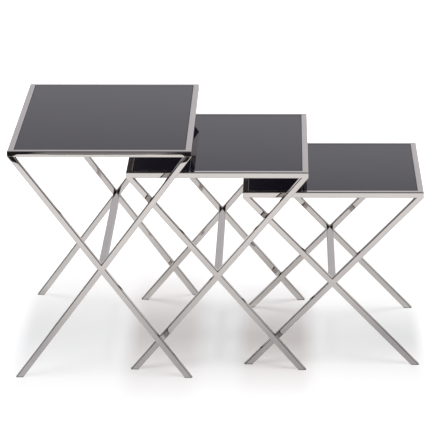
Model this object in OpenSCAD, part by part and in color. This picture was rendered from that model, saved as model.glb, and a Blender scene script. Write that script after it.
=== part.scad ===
// Set of three nesting side tables. Each has a black glass top in a mitred frame
// of square tube, an X of crossed legs at its front and its rear end, and a
// stretcher that ties the two crossings together. The tables share one width. Each
// smaller one is lower and shallower, so it slides along X under the next larger one.
//
// Millimetres, +Z up. The origin is on the floor, under the centre of the set.

/* [Set] */
// Width of every table, along X
table_w = 450; // [360:5:540]
// Depth of the large table, along Y
large_d = 600; // [500:5:700]
// Height of the large table
large_h = 595; // [500:5:700]
// Clear height between the frame of the large table and the top of the medium one
large_headroom = 56; // [10:1:80]
// Clear height between the frame of the medium table and the top of the small one
medium_headroom = 48; // [10:1:80]
// Clear depth between the leg crosses of the large and the medium table, at each end
large_end_gap = 29; // [15:1:50]
// Clear depth between the leg crosses of the medium and the small table, at each end
medium_end_gap = 32; // [15:1:50]

/* [Places] */
// How far the medium table stands out from the large one, centre to centre
medium_out = 286; // [70:1:480]
// How far the small table stands out from the medium one, centre to centre
small_out = 287; // [70:1:480]
// How far the medium table stands behind the centre line of the set
medium_back = 10; // [0:1:14]

/* [Square tube] */
// Width across the flats of the tube of the frames and legs
tube = 15; // [12:0.5:20]
// Width across the flats of the heavier tube of the stretchers
stretcher_tube = 18; // [12:0.5:18]
// Wall of both tubes
tube_wall = 1.5; // [0.8:0.1:2]
// Outer radius of the corners of both tubes
tube_corner = 2; // [0.5:0.1:2.4]
// How far a foot's outer corner stands in from the frame's outer corner
foot_inset = 3.5; // [0:0.5:20]
// Root gap where one tube is coped to another's round corner, for a flush weld
weld_gap = 0.02; // [0.01:0.01:0.1]

/* [Glass] */
// Thickness of the glass
glass_t = 5; // [4:0.5:6]
// How far the glass lies below the top of its frame
glass_recess = 1; // [0.5:0.1:1.5]
// Gap between the edge of the glass and the frame, all round
glass_gap = 1; // [0.5:0.1:2]
// Radius of the corners of the glass
glass_corner = 2; // [0.5:0.1:4]

/* [Corner tabs and pads] */
// Thickness of the tabs that carry the glass in the corners of the frame
tab_t = 2; // [1.5:0.1:3]
// Length of a tab along each of its two rails
tab_side = 42; // [36:1:80]
// Radius of the soft pads between tabs and glass
pad_r = 6; // [4:0.5:8]
// Thickness of the soft pads
pad_t = 1; // [0.5:0.1:1.5]

/* [Foot plugs] */
// Thickness of the sole under the cut end of each leg
sole_t = 1.5; // [1:0.1:4]
// Height of the plug's stem inside the leg
stem_h = 12; // [6:1:25]
// Gap between the stem and the wall of the leg, all round
stem_gap = 0.3; // [0.2:0.1:0.8]

/* [Hidden] */

$fn = 48;
// How far a cutting shape runs past what it cuts
past = 1;

chrome = [0.82, 0.81, 0.80];
steel = [0.66, 0.66, 0.66];
black_glass = [0.06, 0.06, 0.07];
soft_clear = [0.85, 0.85, 0.83];
black_plastic = [0.10, 0.10, 0.10];

// The three tables, as an index into the lists below
LARGE = 0;
MEDIUM = 1;
SMALL = 2;

medium_d = large_d - 2 * (tube + large_end_gap);
small_d = medium_d - 2 * (tube + medium_end_gap);
medium_h = large_h - tube - large_headroom;
small_h = medium_h - tube - medium_headroom;
depths = [large_d, medium_d, small_d];
heights = [large_h, medium_h, small_h];

// Centre of each table
large_x = -(medium_out + small_out) / 2;
centres = [
    [large_x, 0],
    [large_x + medium_out, medium_back],
    [large_x + medium_out + small_out, 0]
];

// A leg's outer corner meets the frame's outer corner at the top, and its foot's
// outer corner stands foot_inset in from the frame's other corner. Its slope and the
// height where the legs cross follow from that.
leg_run = table_w - foot_inset;
function leg_rise(i) = heights[i] - tube;
function leg_span(i) = norm([leg_run, leg_rise(i)]);
function leg_angle(i) = atan2(leg_rise(i), leg_run) + asin(tube / leg_span(i));
function cross_z(i) = (leg_rise(i) - foot_inset * tan(leg_angle(i))) / 2;

// Height of the underside of the glass, and of the top of the tabs under it
function glass_z(i) = heights[i] - glass_recess - glass_t;
function tab_top_z(i) = glass_z(i) - pad_t;

// A size that reaches past the whole of one table from its centre
function reach(i) = leg_span(i) + depths[i];

// ---- Shared shapes ----

// A square with round corners, centred
module round_square(size, corner) {
    square([size - 2 * corner, size], center = true);
    square([size, size - 2 * corner], center = true);
    for (x = [-1, 1], y = [-1, 1])
        translate([x, y] * (size / 2 - corner)) circle(r = corner);
}

// Points its child's outline along X, and makes a bar of it about the origin
module bar(length) {
    rotate([90, 0, 90]) linear_extrude(length, center = true) children();
}

// Square tube along X, centred
module square_tube(size, length) {
    bar(length) difference() {
        round_square(size, tube_corner);
        square(size - 2 * tube_wall, center = true);
    }
}

// Places its child at the centre of table i, on the floor
module at_table(i) {
    translate([centres[i].x, centres[i].y, 0]) children();
}

// The front end of the table, or the rear end, which is the front end turned round
module at_front(i) {
    at_table(i) translate([0, -depths[i] / 2, 0]) children();
}
module at_rear(i) {
    at_table(i) rotate([0, 0, 180]) translate([0, -depths[i] / 2, 0]) children();
}

// Keeps the part of its children between two heights
module between(i, low, high) {
    intersection() {
        children();
        translate([-reach(i), -reach(i), low]) cube([2 * reach(i), 2 * reach(i), high - low]);
    }
}

// One rail of the frame, with both ends mitred. Its outer face is at y = 0 and its
// top is at z = 0.
module rail(length) {
    half = length / 2;
    intersection() {
        translate([0, tube / 2, -tube / 2]) square_tube(tube, length + 2 * past);
        translate([0, 0, -tube - past]) linear_extrude(tube + 2 * past)
            polygon([
                [-half - past, -past],
                [half + past, -past],
                [half - tube - past, tube + past],
                [-half + tube + past, tube + past]
            ]);
    }
}

// Places its child along a leg's centre line. The long leg falls towards +X (side 1)
// and the halved leg falls towards -X (side -1). The outer face is at y = 0.
module along_leg(i, side) {
    translate([0, tube / 2, cross_z(i)]) rotate([0, side * leg_angle(i), 0]) children();
}

// Outline of a tube with the root gap of a weld round it, to cope another tube's end
module cope() {
    round_square(tube + 2 * weld_gap, tube_corner + weld_gap);
}

// The tube of a leg, cut level under the frame and above the sole of its plug. A lip of
// its outer wall reaches up round the corner of the rail, so that the faces meet flush.
module leg_tube(i, side) {
    between(i, sole_t, leg_rise(i))
        along_leg(i, side) square_tube(tube, 2 * leg_span(i));
    difference() {
        intersection() {
            between(i, leg_rise(i), leg_rise(i) + tube_corner)
                along_leg(i, side) square_tube(tube, 2 * leg_span(i));
            translate([-table_w / 2, 0, 0]) cube([table_w, tube_corner, heights[i]]);
        }
        translate([0, tube / 2, heights[i] - tube / 2]) bar(table_w + 2 * past) cope();
    }
}

// The leg that runs through the crossing in one piece
module long_leg(i) {
    leg_tube(i, 1);
}

// Half of the other leg, above the long leg (part 1) or below it (part -1). Its end is
// coped to the long leg's outline, so that the faces of the two meet flush.
module half_leg(i, part) {
    difference() {
        intersection() {
            leg_tube(i, -1);
            along_leg(i, 1) translate([0, 0, part * reach(i)])
                cube(2 * reach(i), center = true);
        }
        along_leg(i, 1) bar(2 * leg_span(i)) cope();
    }
}

// The plug in the foot of a leg: a sole with the leg's own outline, and a stem
// inside the tube
module foot_plug(i, side) {
    between(i, 0, sole_t)
        along_leg(i, side) bar(2 * leg_span(i)) round_square(tube, tube_corner);
    between(i, sole_t, sole_t + stem_h)
        along_leg(i, side) bar(2 * leg_span(i))
            square(tube - 2 * (tube_wall + stem_gap), center = true);
}

// Places its child in each inner corner of the frame, with the rails along +X and +Y
module at_corners(i) {
    inner = [table_w / 2 - tube, depths[i] / 2 - tube];
    at_table(i) for (x = [0, 1], y = [0, 1])
        mirror([x, 0, 0]) mirror([0, y, 0]) translate([-inner.x, -inner.y, 0]) children();
}

// ---- Frame ----

module front_rail(i) {
    color(chrome) at_front(i) translate([0, 0, heights[i]]) rail(table_w);
}

module rear_rail(i) {
    color(chrome) at_rear(i) translate([0, 0, heights[i]]) rail(table_w);
}

module left_rail(i) {
    color(chrome) at_table(i) rotate([0, 0, -90])
        translate([0, -table_w / 2, heights[i]]) rail(depths[i]);
}

module right_rail(i) {
    color(chrome) at_table(i) rotate([0, 0, 90])
        translate([0, -table_w / 2, heights[i]]) rail(depths[i]);
}

// ---- Top ----

module glass_top(i) {
    size = [table_w, depths[i]] - 2 * (tube + glass_gap) * [1, 1];
    color(black_glass) at_table(i) translate([0, 0, glass_z(i)]) linear_extrude(glass_t) {
        square(size - [2 * glass_corner, 0], center = true);
        square(size - [0, 2 * glass_corner], center = true);
        for (x = [-1, 1], y = [-1, 1])
            translate([x * (size.x / 2 - glass_corner), y * (size.y / 2 - glass_corner)])
                circle(r = glass_corner);
    }
}

// Three-cornered plates in the corners of the frame
module corner_tabs(i) {
    color(steel) at_corners(i) translate([0, 0, tab_top_z(i) - tab_t]) linear_extrude(tab_t)
        polygon([[0, 0], [tab_side, 0], [0, tab_side]]);
}

// One round pad in the middle of each tab
module glass_pads(i) {
    color(soft_clear) at_corners(i)
        translate([tab_side / 3, tab_side / 3, tab_top_z(i)]) cylinder(r = pad_r, h = pad_t);
}

// ---- Legs ----

module front_leg_long(i) {
    color(chrome) at_front(i) long_leg(i);
}

module front_leg_upper(i) {
    color(chrome) at_front(i) half_leg(i, 1);
}

module front_leg_lower(i) {
    color(chrome) at_front(i) half_leg(i, -1);
}

module rear_leg_long(i) {
    color(chrome) at_rear(i) long_leg(i);
}

module rear_leg_upper(i) {
    color(chrome) at_rear(i) half_leg(i, 1);
}

module rear_leg_lower(i) {
    color(chrome) at_rear(i) half_leg(i, -1);
}

// Ties the front crossing to the rear one
module stretcher(i) {
    color(chrome) at_table(i) translate([0, 0, cross_z(i)])
        rotate([0, 0, 90]) square_tube(stretcher_tube, depths[i] - 2 * tube);
}

module foot_plugs(i) {
    color(black_plastic) for (side = [-1, 1]) {
        at_front(i) foot_plug(i, side);
        at_rear(i) foot_plug(i, side);
    }
}

// ---- Large table ----
front_rail(LARGE);  // large_front_rail
rear_rail(LARGE);  // large_rear_rail
left_rail(LARGE);  // large_left_rail
right_rail(LARGE);  // large_right_rail
glass_top(LARGE);  // large_glass_top
corner_tabs(LARGE);  // large_corner_tabs
glass_pads(LARGE);  // large_glass_pads
front_leg_long(LARGE);  // large_front_leg_long
front_leg_upper(LARGE);  // large_front_leg_upper
front_leg_lower(LARGE);  // large_front_leg_lower
rear_leg_long(LARGE);  // large_rear_leg_long
rear_leg_upper(LARGE);  // large_rear_leg_upper
rear_leg_lower(LARGE);  // large_rear_leg_lower
stretcher(LARGE);  // large_stretcher
foot_plugs(LARGE);  // large_foot_plugs

// ---- Medium table ----
front_rail(MEDIUM);  // medium_front_rail
rear_rail(MEDIUM);  // medium_rear_rail
left_rail(MEDIUM);  // medium_left_rail
right_rail(MEDIUM);  // medium_right_rail
glass_top(MEDIUM);  // medium_glass_top
corner_tabs(MEDIUM);  // medium_corner_tabs
glass_pads(MEDIUM);  // medium_glass_pads
front_leg_long(MEDIUM);  // medium_front_leg_long
front_leg_upper(MEDIUM);  // medium_front_leg_upper
front_leg_lower(MEDIUM);  // medium_front_leg_lower
rear_leg_long(MEDIUM);  // medium_rear_leg_long
rear_leg_upper(MEDIUM);  // medium_rear_leg_upper
rear_leg_lower(MEDIUM);  // medium_rear_leg_lower
stretcher(MEDIUM);  // medium_stretcher
foot_plugs(MEDIUM);  // medium_foot_plugs

// ---- Small table ----
front_rail(SMALL);  // small_front_rail
rear_rail(SMALL);  // small_rear_rail
left_rail(SMALL);  // small_left_rail
right_rail(SMALL);  // small_right_rail
glass_top(SMALL);  // small_glass_top
corner_tabs(SMALL);  // small_corner_tabs
glass_pads(SMALL);  // small_glass_pads
front_leg_long(SMALL);  // small_front_leg_long
front_leg_upper(SMALL);  // small_front_leg_upper
front_leg_lower(SMALL);  // small_front_leg_lower
rear_leg_long(SMALL);  // small_rear_leg_long
rear_leg_upper(SMALL);  // small_rear_leg_upper
rear_leg_lower(SMALL);  // small_rear_leg_lower
stretcher(SMALL);  // small_stretcher
foot_plugs(SMALL);  // small_foot_plugs
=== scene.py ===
"""Three nesting tables with chromed square-tube frames and black glass tops, drawn out side by side."""

import math

import bpy
from mathutils import Matrix, Vector


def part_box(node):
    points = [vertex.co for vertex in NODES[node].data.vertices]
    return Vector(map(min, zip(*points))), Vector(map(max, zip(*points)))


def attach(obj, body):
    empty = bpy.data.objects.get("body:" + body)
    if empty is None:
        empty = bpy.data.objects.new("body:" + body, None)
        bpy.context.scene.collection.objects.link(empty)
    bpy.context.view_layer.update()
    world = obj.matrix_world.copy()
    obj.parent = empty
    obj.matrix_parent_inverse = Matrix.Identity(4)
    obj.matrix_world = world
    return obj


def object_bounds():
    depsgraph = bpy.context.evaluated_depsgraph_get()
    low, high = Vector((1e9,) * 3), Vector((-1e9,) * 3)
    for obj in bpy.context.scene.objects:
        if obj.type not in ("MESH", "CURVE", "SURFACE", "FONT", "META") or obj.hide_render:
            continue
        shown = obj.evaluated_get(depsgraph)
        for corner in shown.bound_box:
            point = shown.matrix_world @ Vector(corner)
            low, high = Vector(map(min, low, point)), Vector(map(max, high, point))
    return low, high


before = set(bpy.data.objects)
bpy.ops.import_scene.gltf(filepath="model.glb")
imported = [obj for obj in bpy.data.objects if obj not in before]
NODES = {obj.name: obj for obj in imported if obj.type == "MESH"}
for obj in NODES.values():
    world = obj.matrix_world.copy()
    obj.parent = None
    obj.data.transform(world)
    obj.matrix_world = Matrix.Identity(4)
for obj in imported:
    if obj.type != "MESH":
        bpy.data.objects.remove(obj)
cad_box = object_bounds()

TABLES = ("large", "medium", "small")


# ---- Node helpers ----

def new_tree(name):
    """A material with an empty node tree and its output node."""
    material = bpy.data.materials.new(name)
    material.use_nodes = True
    tree = material.node_tree
    tree.nodes.clear()
    return material, tree, tree.nodes.new("ShaderNodeOutputMaterial")


def add(tree, kind, inputs=None, **settings):
    """Adds a node. Inputs are values or sockets, by name or index."""
    node = tree.nodes.new(kind)
    for key, value in settings.items():
        setattr(node, key, value)
    for key, value in (inputs or {}).items():
        if isinstance(value, bpy.types.NodeSocket):
            tree.links.new(value, node.inputs[key])
        else:
            node.inputs[key].default_value = value
    return node


def place(tree):
    """The surface's own coordinates in metres."""
    return add(tree, "ShaderNodeTexCoord").outputs["Object"]


def axes_of(tree, vector):
    """A vector's three parts, by the names X, Y and Z."""
    return add(tree, "ShaderNodeSeparateXYZ", {0: vector}).outputs


def noise(tree, vector, scale, detail=3.0, roughness=0.5):
    """Grey noise, with about scale features to the metre."""
    return add(
        tree,
        "ShaderNodeTexNoise",
        {"Vector": vector, "Scale": scale, "Detail": detail, "Roughness": roughness},
    ).outputs["Fac"]


def ramp(tree, fac, low, high, to_low=0.0, to_high=1.0):
    """Maps low..high of fac to to_low..to_high, and holds it there outside."""
    return add(
        tree,
        "ShaderNodeMapRange",
        {0: fac, 1: low, 2: high, 3: to_low, 4: to_high},
        clamp=True,
    ).outputs[0]


def product(tree, a, b):
    return add(tree, "ShaderNodeMath", {0: a, 1: b}, operation="MULTIPLY").outputs[0]


def greater(tree, a, b):
    return add(tree, "ShaderNodeMath", {0: a, 1: b}, operation="MAXIMUM").outputs[0]


def vector_math(tree, operation, a, b):
    """The vector that an operation makes of a and b."""
    return add(tree, "ShaderNodeVectorMath", {0: a, 1: b}, operation=operation).outputs["Vector"]


def measured(tree, operation, *vectors):
    """The number that an operation makes of one or two vectors."""
    inputs = dict(enumerate(vectors))
    return add(tree, "ShaderNodeVectorMath", inputs, operation=operation).outputs["Value"]


def scaled(tree, vector, by):
    return add(tree, "ShaderNodeVectorMath", {0: vector, 3: by}, operation="SCALE").outputs["Vector"]


def unit(tree, vector):
    return add(tree, "ShaderNodeVectorMath", {0: vector}, operation="NORMALIZE").outputs["Vector"]


def blend_colours(tree, fac, a, b):
    """Colour a where fac is 0 and b where it is 1."""
    mix = add(tree, "ShaderNodeMix", {0: fac}, data_type="RGBA")
    for socket, colour in ((mix.inputs[6], a), (mix.inputs[7], b)):
        if isinstance(colour, bpy.types.NodeSocket):
            tree.links.new(colour, socket)
        else:
            socket.default_value = (*colour, 1)
    return mix.outputs[2]


def bump(tree, height, depth, strength):
    """A bump of depth metres from a height of 0..1."""
    return add(
        tree,
        "ShaderNodeBump",
        {"Height": height, "Distance": depth, "Strength": strength},
    ).outputs["Normal"]


def principled(tree, out, inputs):
    """The surface shader, wired to the output."""
    shader = add(tree, "ShaderNodeBsdfPrincipled", inputs)
    tree.links.new(shader.outputs["BSDF"], out.inputs["Surface"])


# ---- Drawn tube ----

# How much a tube's face leans outward, for each metre between it and the centre line
BULGE = 3.2
# Waves along a face: how much it leans, how many there are to the metre, and their detail
WAVE_LEAN = 0.011
WAVE_SCALE = 13.0
WAVE_DETAIL = 1.5
# Corner radius of the tubes, and how far and how much the legs' faces round off beside it.
# Only an edge that looks up by this much is rounded, from not at all to fully.
TUBE_CORNER = 0.002
EDGE_REACH = 0.0015
LEG_EDGE_LEAN = 0.06
EDGE_UPWARD = (0.1, 0.4)
# How much a face leans at a weld, how far the polish reaches, and where it lies: inward
# from the rail's end and up from its underside. It is uneven by this much.
WELD_LEAN = {"large": 0.030, "medium": 0.008, "small": 0.008}
WELD_REACH = 0.020
WELD_SPOTS = ((0.005, 0.007), (0.014, -0.005))
WELD_UNEVEN = (0.75, 1.25)
WELD_GRAIN = 42.0


def drawn_normal(tree, at, line, edge_lean, welds, weld_lean):
    """The normal of a drawn tube: its faces bulge a little away from its centre line, round
    off along their upper edge, wave a little along it, and lean back at polished welds."""
    centre, along, half = line
    normal = add(tree, "ShaderNodeNewGeometry").outputs["Normal"]
    from_centre = vector_math(tree, "SUBTRACT", at, centre)
    on_line = scaled(tree, along, measured(tree, "DOT_PRODUCT", from_centre, along))
    outward = vector_math(tree, "SUBTRACT", from_centre, on_line)

    out_of_face = scaled(tree, normal, measured(tree, "DOT_PRODUCT", outward, normal))
    in_face = vector_math(tree, "SUBTRACT", outward, out_of_face)
    off_line = measured(tree, "LENGTH", in_face)
    in_face = unit(tree, in_face)
    edge = ramp(tree, off_line, half - TUBE_CORNER - EDGE_REACH, half - TUBE_CORNER)
    upper = ramp(tree, axes_of(tree, in_face)["Z"], *EDGE_UPWARD)
    edge = product(tree, product(tree, edge, edge), product(tree, upper, edge_lean))

    wave = add(tree, "ShaderNodeTexNoise", {"Vector": at, "Scale": WAVE_SCALE, "Detail": WAVE_DETAIL})
    wave = vector_math(tree, "SUBTRACT", wave.outputs["Color"], (0.5, 0.5, 0.5))

    leans = [scaled(tree, outward, BULGE), scaled(tree, in_face, edge), scaled(tree, wave, WAVE_LEAN)]
    in_frame = vector_math(tree, "MULTIPLY", at, (1, 0, 1))
    polished = ramp(tree, noise(tree, at, WELD_GRAIN, 1.0), 0.3, 0.7, *WELD_UNEVEN)
    for spot in welds:
        near = ramp(tree, measured(tree, "DISTANCE", in_frame, spot), WELD_REACH, 0.0)
        share = product(tree, product(tree, near, near), polished)
        leans.append(scaled(tree, (0, 0, weld_lean), share))

    leaning = normal
    for lean in leans:
        leaning = vector_math(tree, "ADD", leaning, lean)
    return unit(tree, leaning)


def tube_line(table, part):
    """A point on the centre line of a tube, the line's direction and half the tube's width."""
    low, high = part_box(table + "_" + part)
    middle = (low + high) / 2
    if part.endswith("rail"):
        crossways = high.x - low.x > high.y - low.y
        return middle, Vector((1, 0, 0)) if crossways else Vector((0, 1, 0)), (high.z - low.z) / 2
    stretcher_low, stretcher_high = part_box(table + "_stretcher")
    crossing = (stretcher_low + stretcher_high) / 2
    if part == "stretcher":
        return crossing, Vector((0, 1, 0)), (high.z - low.z) / 2
    # the long front leg falls to the right, and so does the halved rear one
    rail_low, rail_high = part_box(table + "_front_rail")
    leg_low, leg_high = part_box(table + "_front_leg_long")
    run, rise = leg_high.x - leg_low.x, rail_low.z
    slope = math.atan2(rise, run) + math.asin((rail_high.z - rail_low.z) / math.hypot(run, rise))
    side = 1 if part.startswith("front") == part.endswith("long") else -1
    return (
        Vector((crossing.x, middle.y, crossing.z)),
        Vector((side * math.cos(slope), 0, -math.sin(slope))),
        (high.y - low.y) / 2,
    )


def weld_spots(table):
    """Points along the welds between the front rail's ends and the legs, seen from the front."""
    low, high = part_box(table + "_front_rail")
    return [
        (end + inward * across, 0, low.z + up)
        for end, inward in ((low.x, 1), (high.x, -1))
        for across, up in WELD_SPOTS
    ]


# ---- Materials ----

CHROME_CLEAN = (0.82, 0.776, 0.749)
CHROME_WIPED = (0.785, 0.742, 0.716)
CHROME_PAINTED_SHADE = (0.53, 0.495, 0.50)
# painted shade: heights between which the front legs' plate is painted darker towards the floor, a
# painted darker reflection
PAINTED_SHADE_FROM, PAINTED_SHADE_TO = 0.21, 0.09


def chrome(name, line, edge_lean, welds, weld_lean):
    """Bright chromium plate on drawn steel tube: nearly a mirror, a touch warm, with
    faint wiping marks. The front legs have painted shade: their plate is painted darker towards the
    floor."""
    material, tree, out = new_tree(name + "_chrome")
    at = place(tree)
    smudge = noise(tree, at, 14.0, 4.0, 0.6)
    colour = blend_colours(tree, ramp(tree, smudge, 0.35, 0.7), CHROME_CLEAN, CHROME_WIPED)
    # painted shade: the front legs' plate darkens towards the floor, standing in for a darker
    # reflection
    if "_front_leg_" in name:
        low_down = ramp(tree, axes_of(tree, at)["Z"], PAINTED_SHADE_FROM, PAINTED_SHADE_TO)
        painted_shade = product(tree, low_down, ramp(tree, smudge, 0.3, 0.7, 0.8, 1.0))
        colour = blend_colours(tree, painted_shade, colour, CHROME_PAINTED_SHADE)
    principled(tree, out, {
        "Base Color": colour,
        "Metallic": 1.0,
        "Roughness": ramp(tree, smudge, 0.3, 0.75, 0.02, 0.055),
        "Normal": drawn_normal(tree, at, line, edge_lean, welds, weld_lean),
    })
    return material


GLASS_CLEAN = (0.0088, 0.0070, 0.0132)
GLASS_FILMED = (0.0108, 0.0090, 0.0152)
GLASS_PAINT = (0.092, 0.084, 0.082)
# Painted reflection: the sheen on the glass is made stronger from the front towards the
# back, and is even over the last stretch
SHEEN_FRONT, SHEEN_BACK = 0.325, 0.69
SHEEN_EVEN = 0.07


def black_glass(name, front, back):
    """Glass, 5 mm, polished, with a matt dark coat on its underside. Its top lies
    between front and back along Y, and its reflection is painted stronger towards the back."""
    material, tree, out = new_tree(name + "_black_glass")
    at = place(tree)
    film = noise(tree, at, 9.0, 5.0, 0.6)
    facing = add(tree, "ShaderNodeNewGeometry").outputs["True Normal"]
    painted = ramp(tree, axes_of(tree, facing)["Z"], -0.6, -0.7)
    body = blend_colours(tree, ramp(tree, film, 0.4, 0.7), GLASS_CLEAN, GLASS_FILMED)
    depth = axes_of(tree, at)["Y"]
    # painted reflection: the specular level rises from the front to the back of the top
    painted_sheen = ramp(tree, depth, front, back - SHEEN_EVEN, SHEEN_FRONT, SHEEN_BACK)
    principled(tree, out, {
        "Base Color": blend_colours(tree, painted, body, GLASS_PAINT),
        "Roughness": ramp(tree, painted, 0.0, 1.0, 0.012, 0.75),
        "Specular IOR Level": product(tree, painted_sheen, ramp(tree, painted, 0.0, 1.0, 1.0, 0.1)),
        "IOR": 1.5,
    })
    return material


def plated_steel():
    """Zinc-plated sheet, as on a pressed corner tab."""
    material, tree, out = new_tree("plated_steel")
    at = place(tree)
    bloom = noise(tree, at, 160.0, 4.0, 0.65)
    principled(tree, out, {
        "Base Color": blend_colours(
            tree, ramp(tree, bloom, 0.35, 0.65), (0.50, 0.50, 0.50), (0.62, 0.62, 0.60)
        ),
        "Metallic": 1.0,
        "Roughness": ramp(tree, bloom, 0.3, 0.7, 0.28, 0.42),
        "Normal": bump(tree, bloom, 0.00003, 0.5),
    })
    return material


def silicone():
    """Milky clear silicone."""
    material, tree, out = new_tree("clear_silicone")
    at = place(tree)
    cloud = noise(tree, at, 260.0)
    principled(tree, out, {
        "Base Color": blend_colours(
            tree, ramp(tree, cloud, 0.3, 0.7), (0.70, 0.70, 0.68), (0.78, 0.78, 0.76)
        ),
        "Roughness": ramp(tree, cloud, 0.3, 0.7, 0.32, 0.45),
        "IOR": 1.42,
        "Subsurface Weight": 0.2,
    })
    return material


def matt_black_fill():
    """Matt black with a dusty bloom."""
    material, tree, out = new_tree("matt_black_fill")
    at = place(tree)
    bloom = noise(tree, at, 180.0)
    principled(tree, out, {
        "Base Color": blend_colours(
            tree, ramp(tree, bloom, 0.35, 0.7), (0.014, 0.014, 0.015), (0.026, 0.026, 0.027)
        ),
        "Roughness": ramp(tree, bloom, 0.3, 0.7, 0.55, 0.70),
    })
    return material


def foot_plastic():
    """Black moulded polyethylene with a fine matt grain."""
    material, tree, out = new_tree("black_plastic")
    at = place(tree)
    grain = noise(tree, at, 900.0, 2.0)
    scuff = noise(tree, at, 120.0, 4.0, 0.65)
    principled(tree, out, {
        "Base Color": blend_colours(
            tree, ramp(tree, scuff, 0.45, 0.75), (0.020, 0.020, 0.021), (0.045, 0.045, 0.045)
        ),
        "Roughness": ramp(tree, scuff, 0.3, 0.7, 0.48, 0.62),
        "Normal": bump(tree, grain, 0.00008, 0.6),
    })
    return material


def dress():
    """Gives each CAD node its finished material."""
    finishes = {
        "corner_tabs": plated_steel(),
        "glass_pads": silicone(),
        "foot_plugs": foot_plastic(),
    }
    for name, node in NODES.items():
        table, part = name.split("_", 1)
        if part == "glass_top":
            low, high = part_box(name)
            finish = black_glass(name, low.y, high.y)
        else:
            edge_lean = LEG_EDGE_LEAN if "leg" in part else 0.0
            finish = finishes.get(part) or chrome(
                name, tube_line(table, part), edge_lean, weld_spots(table), WELD_LEAN[table]
            )
        for slot in node.material_slots:
            slot.material = finish


dress()


# ---- Strips round the glass ----

# A strip keeps this far off the glass and the rails, and ends this far inside the glass's
# thickness, above and below
STRIP_PLAY = 0.00005
STRIP_BELOW_GLASS = 0.0002
GLASS_CORNER = 0.002
CORNER_STEPS = 4


def rounded_loop(left, front, right, back, radius, z):
    """The corners of a rounded rectangle at height z, anticlockwise seen from above."""
    corners = (
        (right - radius, front + radius, -90),
        (right - radius, back - radius, 0),
        (left + radius, back - radius, 90),
        (left + radius, front + radius, 180),
    )
    points = []
    for x, y, start in corners:
        for step in range(CORNER_STEPS + 1):
            angle = math.radians(start + 90 * step / CORNER_STEPS)
            points.append((x + radius * math.cos(angle), y + radius * math.sin(angle), z))
    return points


# a matt black strip fills the gap round each glass panel, so that the gap shows dark
def dark_gap_strip(table, finish):
    """A thin matt black strip that fills the gap between a glass panel and its frame."""
    glass_low, glass_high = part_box(table + "_glass_top")
    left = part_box(table + "_left_rail")[1].x + STRIP_PLAY
    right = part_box(table + "_right_rail")[0].x - STRIP_PLAY
    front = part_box(table + "_front_rail")[1].y + STRIP_PLAY
    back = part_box(table + "_rear_rail")[0].y - STRIP_PLAY
    inner = [
        glass_low.x - STRIP_PLAY, glass_low.y - STRIP_PLAY,
        glass_high.x + STRIP_PLAY, glass_high.y + STRIP_PLAY,
    ]
    width = inner[0] - left
    verts = []
    for z in (glass_high.z - STRIP_BELOW_GLASS, glass_low.z + STRIP_BELOW_GLASS):
        verts += rounded_loop(left, front, right, back, GLASS_CORNER + width, z)
        verts += rounded_loop(*inner, GLASS_CORNER, z)
    count = len(verts) // 4
    faces = []
    for i in range(count):
        j = (i + 1) % count
        # the loops are outer and inner above, then outer and inner below
        for a, b in ((0, 1), (1, 3), (3, 2), (2, 0)):
            faces.append((a * count + i, a * count + j, b * count + j, b * count + i))
    mesh = bpy.data.meshes.new(table + "_dark_gap_strip")
    mesh.from_pydata(verts, [], faces)
    mesh.materials.append(finish)
    strip = bpy.data.objects.new(table + "_dark_gap_strip", mesh)
    bpy.context.scene.collection.objects.link(strip)
    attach(strip, table + "_table")
    return strip


strip_black = matt_black_fill()
STRIPS = {table: dark_gap_strip(table, strip_black) for table in TABLES}


# ---- Camera ----

# Where the camera stands, in metres, and how it is turned, in degrees: to the right, down
# and about its own axis. The lens is in millimetres, for a sensor of this width.
CAMERA_AT = Vector((0.1655, -6.1254, 2.4301))
CAMERA_YAW = -1.576
CAMERA_PITCH = 19.014
CAMERA_ROLL = -0.397
SENSOR = 36.0
LENS = 206.42


def turn(degrees, axis):
    return Matrix.Rotation(math.radians(degrees), 4, axis)


camera_data = bpy.data.cameras.new("camera")
camera_data.sensor_width = SENSOR
camera_data.lens = LENS
camera = bpy.data.objects.new("camera", camera_data)
bpy.context.scene.collection.objects.link(camera)
camera.matrix_world = (
    Matrix.Translation(CAMERA_AT)
    @ turn(-CAMERA_YAW, "Z")
    @ turn(90 - CAMERA_PITCH, "X")
    @ turn(CAMERA_ROLL, "Z")
)
bpy.context.scene.camera = camera


# ---- Floor ----

SET_BACK, SET_FRONT = cad_box[1].y, cad_box[0].y
FLOOR_HALF = 30.0
FLOOR_COLOURS = (0.79, 0.79, 0.79), (0.81, 0.81, 0.81)
# Seen directly the floor is white, and it grows brighter still between these distances
# from the middle of the set
WHITE_NEAR, WHITE_FAR = 1.0, 2.4
WHITE_FROM, WHITE_TO = 0.6, 3.0
# The lit sweep, as reflections see it: how bright it is from its front end to far behind
# the set. The places run along Y, in order. The dip just in front of the set is painted
# shadow of the set.
FLOOR_END = SET_FRONT - 1.845
TONE_TO = 4.5
FLOOR_TONES = (
    (FLOOR_END, 0.78),
    (SET_FRONT - 1.40, 0.78),
    (SET_FRONT - 1.05, 0.765),
    (SET_FRONT - 0.84, 0.715),
    (SET_FRONT - 0.70, 0.665),
    (SET_FRONT - 0.50, 0.625),
    (SET_FRONT - 0.35, 0.645),
    (SET_FRONT - 0.20, 0.685),
    (SET_FRONT, 0.735),
    (SET_FRONT + 0.20, 0.76),
    (SET_BACK - 0.10, 0.72),
    (SET_BACK + 0.05, 0.42),
    (SET_BACK + 0.9, 0.42),
    (SET_BACK + 1.4, 0.55),
    (SET_BACK + 2.2, 0.59),
    (SET_BACK + 2.8, 0.80),
)
# In front of the sweep lies a dark studio floor, with one grey patch between these places
# along X
STUDIO_DARK = (0.012, 0.012, 0.012)
PATCH_GREY = (0.22, 0.21, 0.22)
PATCH_LEFT, PATCH_RIGHT = -0.64, -0.21
PATCH_SOFT = 0.03
# Under the set the light falls off to the right: places along X, and how much it falls
FALL_OFF = (-0.2, 0.3, 0.01, 0.17)


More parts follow.
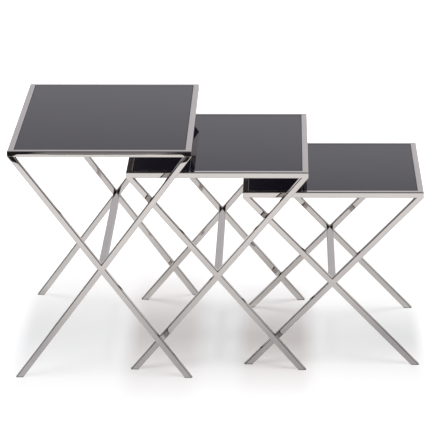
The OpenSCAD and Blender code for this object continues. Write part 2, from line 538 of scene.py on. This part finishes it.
def floor_tone(tree, axes):
    """How bright the floor is in reflections. The lit sweep ends in front of the set,
    where it gives way to a dark studio with one grey patch in it."""
    x, y = axes["X"], axes["Y"]
    node = add(tree, "ShaderNodeValToRGB", {"Fac": ramp(tree, y, FLOOR_END, TONE_TO)})
    points = node.color_ramp.elements
    while len(points) < len(FLOOR_TONES):
        points.new(0.5)
    for point, (at, tone) in zip(points, FLOOR_TONES):
        point.position = (at - FLOOR_END) / (TONE_TO - FLOOR_END)
        point.color = (tone, tone, tone, 1)
    patch = product(
        tree,
        ramp(tree, x, PATCH_LEFT - PATCH_SOFT, PATCH_LEFT + PATCH_SOFT),
        ramp(tree, x, PATCH_RIGHT + PATCH_SOFT, PATCH_RIGHT - PATCH_SOFT),
    )
    patch = product(tree, patch, ramp(tree, y, FLOOR_END - 0.03, FLOOR_END - 0.05))
    beyond = blend_colours(tree, patch, STUDIO_DARK, PATCH_GREY)
    lit = ramp(tree, y, FLOOR_END - 0.008, FLOOR_END + 0.008)
    under = ramp(tree, y, SET_FRONT - 0.35, SET_FRONT - 0.15)
    darker = product(tree, under, ramp(tree, x, *FALL_OFF))
    near = blend_colours(tree, darker, node.outputs["Color"], (0, 0, 0))
    return blend_colours(tree, lit, beyond, near)


def floor_material():
    """A pale studio floor. Seen directly it is white where no shadow falls. In reflections
    it has the tones of floor_tone, made half by the lamps' light and half by a glow."""
    material, tree, out = new_tree("studio_floor")
    at = place(tree)
    path = add(tree, "ShaderNodeLightPath")
    cloud = noise(tree, at, 0.8, 2.0)
    plain = blend_colours(tree, ramp(tree, cloud, 0.3, 0.7), *FLOOR_COLOURS)
    matt = add(tree, "ShaderNodeBsdfDiffuse", {"Color": plain})
    away = measured(tree, "LENGTH", at)
    white = ramp(tree, away, WHITE_FROM, WHITE_TO, WHITE_NEAR, WHITE_FAR)
    seen = add(tree, "ShaderNodeBsdfDiffuse", {"Color": white})
    halved = blend_colours(tree, 0.5, (0, 0, 0), floor_tone(tree, axes_of(tree, at)))
    mirrored = add(tree, "ShaderNodeAddShader", {
        0: add(tree, "ShaderNodeBsdfDiffuse", {"Color": halved}).outputs[0],
        1: add(tree, "ShaderNodeEmission", {"Color": halved, "Strength": 1.0}).outputs[0],
    })
    first = add(tree, "ShaderNodeMixShader", {
        0: path.outputs["Is Camera Ray"], 1: matt.outputs[0], 2: seen.outputs[0]
    })
    second = add(tree, "ShaderNodeMixShader", {
        0: path.outputs["Is Glossy Ray"], 1: first.outputs[0], 2: mirrored.outputs[0]
    })
    tree.links.new(second.outputs[0], out.inputs["Surface"])
    return material


floor_mesh = bpy.data.meshes.new("floor")
floor_mesh.from_pydata(
    [(x * FLOOR_HALF, y * FLOOR_HALF, 0) for x, y in ((-1, -1), (1, -1), (1, 1), (-1, 1))],
    [],
    [(0, 1, 2, 3)],
)
floor = bpy.data.objects.new("floor", floor_mesh)
bpy.context.scene.collection.objects.link(floor)
floor.data.materials.append(floor_material())


# ---- World ----

# The studio above the floor, as reflections see it. Each row is a ramp over one part of the
# direction: where it starts and ends and, unless it is 0 to 1, its levels there.
BACKDROP_AHEAD = (0.1, 0.6)
BACKDROP_LEFT_END = (-0.5, -0.25)
BACKDROP_ACROSS = (-0.15, 0.06, 0.91, 1.05)
BACKDROP_LOW = (0.27, 0.34, 0.60, 0.52)
BACKDROP_HIGH = (0.36, 0.50, 1.0, 0.03)
RIGHT_FLAT_ACROSS = (0.35, 0.75, 0.0, 0.22)
RIGHT_FLAT_UP = (0.3, 0.6, 1.0, 0.3)
FRONT_WALL = (-0.55, -0.75)
LEFT_WALL_ACROSS = (-0.40, -0.50)
LEFT_WALL_AHEAD = (0.45, 0.60)
WALL_GAP = (0.10, 0.18)
WALL_FOOT = (0.16, 0.26)
WALL_TOP = (0.60, 0.42, 0.0, 0.38)
OVERHEAD = (0.52, 0.64, 0.012, 0.12)
MIRRORED_TINT = (0.96, 0.945, 1, 1)
# how much the world lights matt surfaces
WORLD_LEVEL = 0.05


def studio_world():
    """A plain studio seen all round: pale walls, dark overhead and close to the floor."""
    world = bpy.data.worlds.new("studio")
    world.use_nodes = True
    tree = world.node_tree
    tree.nodes.clear()
    out = tree.nodes.new("ShaderNodeOutputWorld")
    path = add(tree, "ShaderNodeLightPath")
    direction = axes_of(tree, add(tree, "ShaderNodeTexCoord").outputs["Generated"])
    across, ahead, up = direction["X"], direction["Y"], direction["Z"]
    # a pale backdrop behind the set
    behind = ramp(tree, ahead, *BACKDROP_AHEAD)
    behind = product(tree, behind, ramp(tree, across, *BACKDROP_LEFT_END))
    behind = product(tree, behind, ramp(tree, across, *BACKDROP_ACROSS))
    low = ramp(tree, up, *BACKDROP_LOW)
    high = ramp(tree, up, *BACKDROP_HIGH)
    behind = product(tree, behind, product(tree, low, high))
    # a grey flat stands to the right of the set
    right = product(tree, ramp(tree, across, *RIGHT_FLAT_ACROSS), ramp(tree, up, *RIGHT_FLAT_UP))
    level = greater(tree, behind, right)
    # pale walls in front of the set and on its left, out of the camera's sight, with a dark
    # gap straight behind the camera
    left = product(tree, ramp(tree, across, *LEFT_WALL_ACROSS), ramp(tree, ahead, *LEFT_WALL_AHEAD))
    walls = greater(tree, ramp(tree, ahead, *FRONT_WALL), left)
    aside = add(tree, "ShaderNodeMath", {0: across}, operation="ABSOLUTE").outputs[0]
    walls = product(tree, walls, ramp(tree, aside, *WALL_GAP))
    walls = product(tree, walls, ramp(tree, up, *WALL_FOOT))
    walls = product(tree, walls, ramp(tree, up, *WALL_TOP))
    level = greater(tree, level, walls)
    # hardly any light comes from the rest of the studio, and a little from overhead
    level = greater(tree, level, ramp(tree, up, *OVERHEAD))
    plain = add(tree, "ShaderNodeBackground", {"Color": (1, 1, 1, 1), "Strength": WORLD_LEVEL})
    mirrored = add(tree, "ShaderNodeBackground", {"Color": MIRRORED_TINT, "Strength": level})
    white = add(tree, "ShaderNodeBackground", {"Color": (1, 1, 1, 1), "Strength": 1.0})
    first = add(tree, "ShaderNodeMixShader", {
        0: path.outputs["Is Glossy Ray"], 1: plain.outputs[0], 2: mirrored.outputs[0]
    })
    second = add(tree, "ShaderNodeMixShader", {
        0: path.outputs["Is Camera Ray"], 1: first.outputs[0], 2: white.outputs[0]
    })
    tree.links.new(second.outputs[0], out.inputs["Surface"])
    bpy.context.scene.world = world


studio_world()


# ---- Lamps ----

# A lamp of its own for each table, one for all, and a fill. The levels are what each adds
# to the white floor, by colour.
LAMP_LEVELS = {
    "large": (0.100, 0.122, 0.134),
    "medium": (0.186, 0.209, 0.222),
    "small": (0.130, 0.152, 0.164),
}
SHARED_LEVEL = (0.151, 0.118, 0.106)
FILL_LEVEL = (0.322, 0.267, 0.241)
# How far behind the middle of its table each lamp hangs, or in front of it where this is
# negative, then the height of all lamps and their size
LAMP_BACK = {"large": -2.4, "medium": 0.9, "small": 1.8}
LAMP_HEIGHT = 18.0
LAMP_SIZE = (1.6, 18.0)
# Watts for a level of 1 on the floor, from that height
LAMP_GAIN = 4800.0
FILL_ANGLE = 0.5


def make_lamp(name, kind, level, gain, casts):
    """A lamp at the origin whose shadow comes from the objects in casts, and which no
    reflection shows."""
    data = bpy.data.lights.new(name, kind)
    strongest = max(level)
    data.energy = strongest * gain
    data.color = [part / strongest for part in level]
    lamp = bpy.data.objects.new(name, data)
    bpy.context.scene.collection.objects.link(lamp)
    lamp.visible_glossy = False
    blockers = bpy.data.collections.new(name + "_blockers")
    for piece in casts:
        blockers.objects.link(piece)
    lamp.light_linking.blocker_collection = blockers
    return lamp


def softbox(name, at, level, casts):
    """A long soft lamp overhead, pointing down."""
    lamp = make_lamp(name, "AREA", level, LAMP_GAIN, casts)
    lamp.data.shape = "RECTANGLE"
    lamp.data.size, lamp.data.size_y = LAMP_SIZE
    lamp.location = at


# light without shadows from above, as from the white walls and ceiling of a studio
fill = make_lamp("fill", "SUN", FILL_LEVEL, math.pi, [floor])
fill.data.angle = FILL_ANGLE
for table in TABLES:
    pieces = [node for name, node in NODES.items() if name.startswith(table + "_")]
    pieces.append(STRIPS[table])
    low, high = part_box(table + "_glass_top")
    centre = (low + high) / 2
    at = (centre.x, centre.y + LAMP_BACK[table], LAMP_HEIGHT)
    softbox(table + "_softbox", at, LAMP_LEVELS[table], pieces)
everything = [*NODES.values(), *STRIPS.values()]
softbox("shared_softbox", (0, 0, LAMP_HEIGHT), SHARED_LEVEL, everything)

bpy.context.scene.view_settings.view_transform = "Standard"
